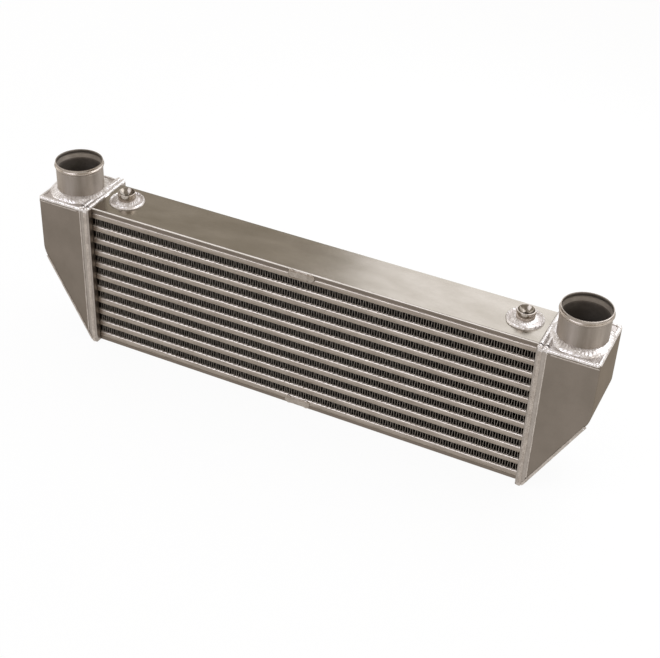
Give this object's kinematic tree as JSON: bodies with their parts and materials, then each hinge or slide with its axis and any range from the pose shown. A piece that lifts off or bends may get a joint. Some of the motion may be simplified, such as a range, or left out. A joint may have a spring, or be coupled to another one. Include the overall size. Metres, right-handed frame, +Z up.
{
  "type": "intercooler",
  "caption": "Bar-and-plate charge-air cooler: a finned core between welded sheet tanks, with upright beaded hose pipes and threaded bosses on top.",
  "frame": {"origin": "middle of the underside, on the surface that the core stands on", "axes": "+X along the core towards the right-hand tank, +Y from the front face to the rear, +Z up towards the pipe mouths"},
  "size_m": [0.71, 0.086, 0.2347],
  "materials": {
    "side_plate_sheet": "satin",
    "extruded_bar": "satin",
    "fin_sheet": "satin",
    "parting_sheet": "satin",
    "tank_sheet": "satin",
    "turned_pipe": "turned",
    "turned_boss": "polished",
    "weld": "rippled"
  },
  "bodies": {
    "root": {"core_side_plate_top": "side_plate_sheet", "core_side_plate_bottom": "side_plate_sheet", "charge_bar_front_01": "extruded_bar", "charge_bar_rear_01": "extruded_bar", "charge_bar_front_02": "extruded_bar", "charge_bar_rear_02": "extruded_bar", "charge_bar_front_03": "extruded_bar", "charge_bar_rear_03": "extruded_bar", "charge_bar_front_04": "extruded_bar", "charge_bar_rear_04": "extruded_bar", "charge_bar_front_05": "extruded_bar", "charge_bar_rear_05": "extruded_bar", "charge_bar_front_06": "extruded_bar", "charge_bar_rear_06": "extruded_bar", "charge_bar_front_07": "extruded_bar", "charge_bar_rear_07": "extruded_bar", "charge_bar_front_08": "extruded_bar", "charge_bar_rear_08": "extruded_bar", "charge_bar_front_09": "extruded_bar", "charge_bar_rear_09": "extruded_bar", "charge_bar_front_10": "extruded_bar", "charge_bar_rear_10": "extruded_bar", "charge_bar_front_11": "extruded_bar", "charge_bar_rear_11": "extruded_bar", "outer_fins_01": "fin_sheet", "outer_fins_02": "fin_sheet", "outer_fins_03": "fin_sheet", "outer_fins_04": "fin_sheet", "outer_fins_05": "fin_sheet", "outer_fins_06": "fin_sheet", "outer_fins_07": "fin_sheet", "outer_fins_08": "fin_sheet", "outer_fins_09": "fin_sheet", "outer_fins_10": "fin_sheet", "parting_sheets": "parting_sheet", "inner_fins": "fin_sheet", "left_end_bars": "extruded_bar", "left_header_ring": "tank_sheet", "left_tank_front_panel": "tank_sheet", "left_tank_rear_panel": "tank_sheet", "left_tank_end_wrap": "tank_sheet", "left_tank_top_plate": "tank_sheet", "left_seam_welds": "weld", "right_end_bars": "extruded_bar", "right_header_ring": "tank_sheet", "right_tank_front_panel": "tank_sheet", "right_tank_rear_panel": "tank_sheet", "right_tank_end_wrap": "tank_sheet", "right_tank_top_plate": "tank_sheet", "right_seam_welds": "weld", "hose_pipes": "turned_pipe", "pipe_welds": "weld", "threaded_bosses": "turned_boss", "boss_welds": "weld", "weld_patches": "weld"}
  },
  "joints": []
}
